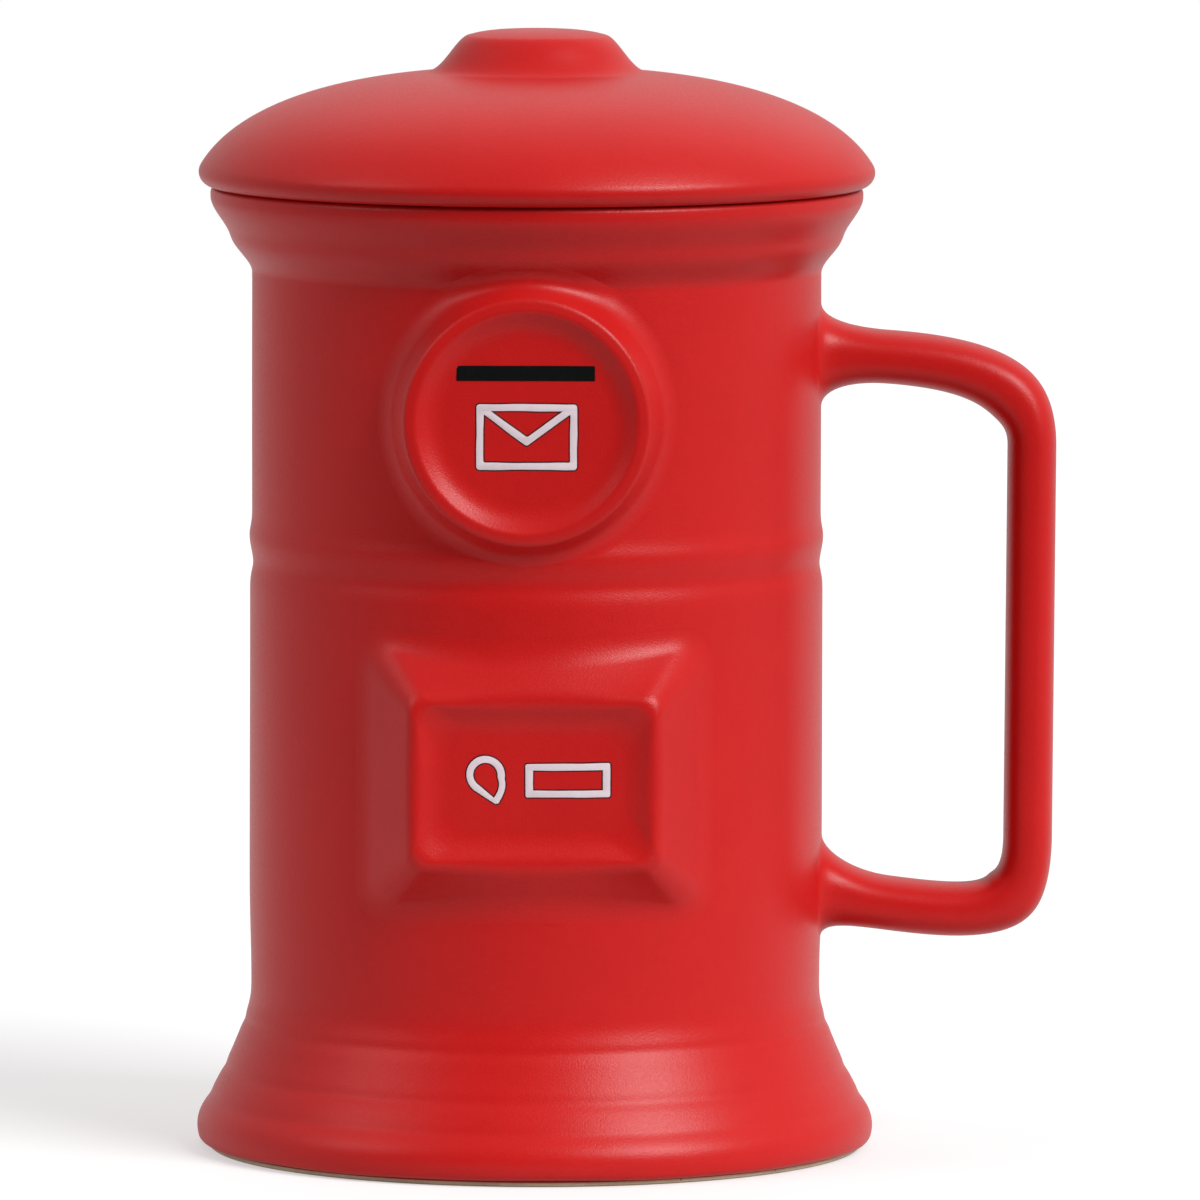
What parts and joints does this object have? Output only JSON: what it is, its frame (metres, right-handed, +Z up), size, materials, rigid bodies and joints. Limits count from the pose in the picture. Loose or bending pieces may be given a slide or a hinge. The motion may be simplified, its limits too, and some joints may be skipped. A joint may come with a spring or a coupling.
{
  "type": "lidded mug",
  "caption": "Red glazed ceramic mug with a side handle and a lift-off domed lid, shaped like a pillar post box with a raised medallion and door panel.",
  "frame": {"origin": "centre of the foot ring on the table plane, on the cup's axis", "axes": "+Z up along the cup's axis; the front with the medallion and the door panel faces -Y; the handle is on +X"},
  "size_m": [0.1154, 0.091, 0.1506],
  "materials": {
    "red_glaze": "matte glaze",
    "bare_clay": "unglazed",
    "black_decal": "satin",
    "white_decal": "satin"
  },
  "bodies": {
    "mug": {"mug_body": "red_glaze", "foot_ring": "bare_clay", "handle": "red_glaze", "medallion": "red_glaze", "door_panel": "red_glaze", "slot_decal": "black_decal", "envelope_decal": "white_decal", "keyhole_decal": "white_decal", "label_decal": "white_decal"},
    "lid": {"lid_dome": "red_glaze", "lid_flange": "red_glaze", "lid_knob": "red_glaze"}
  },
  "joints": [
    {"name": "lid_lift", "type": "slide", "parent": "mug", "child": "lid", "axis": [0, 0, 1], "range_m": [0, 0.06]}
  ]
}
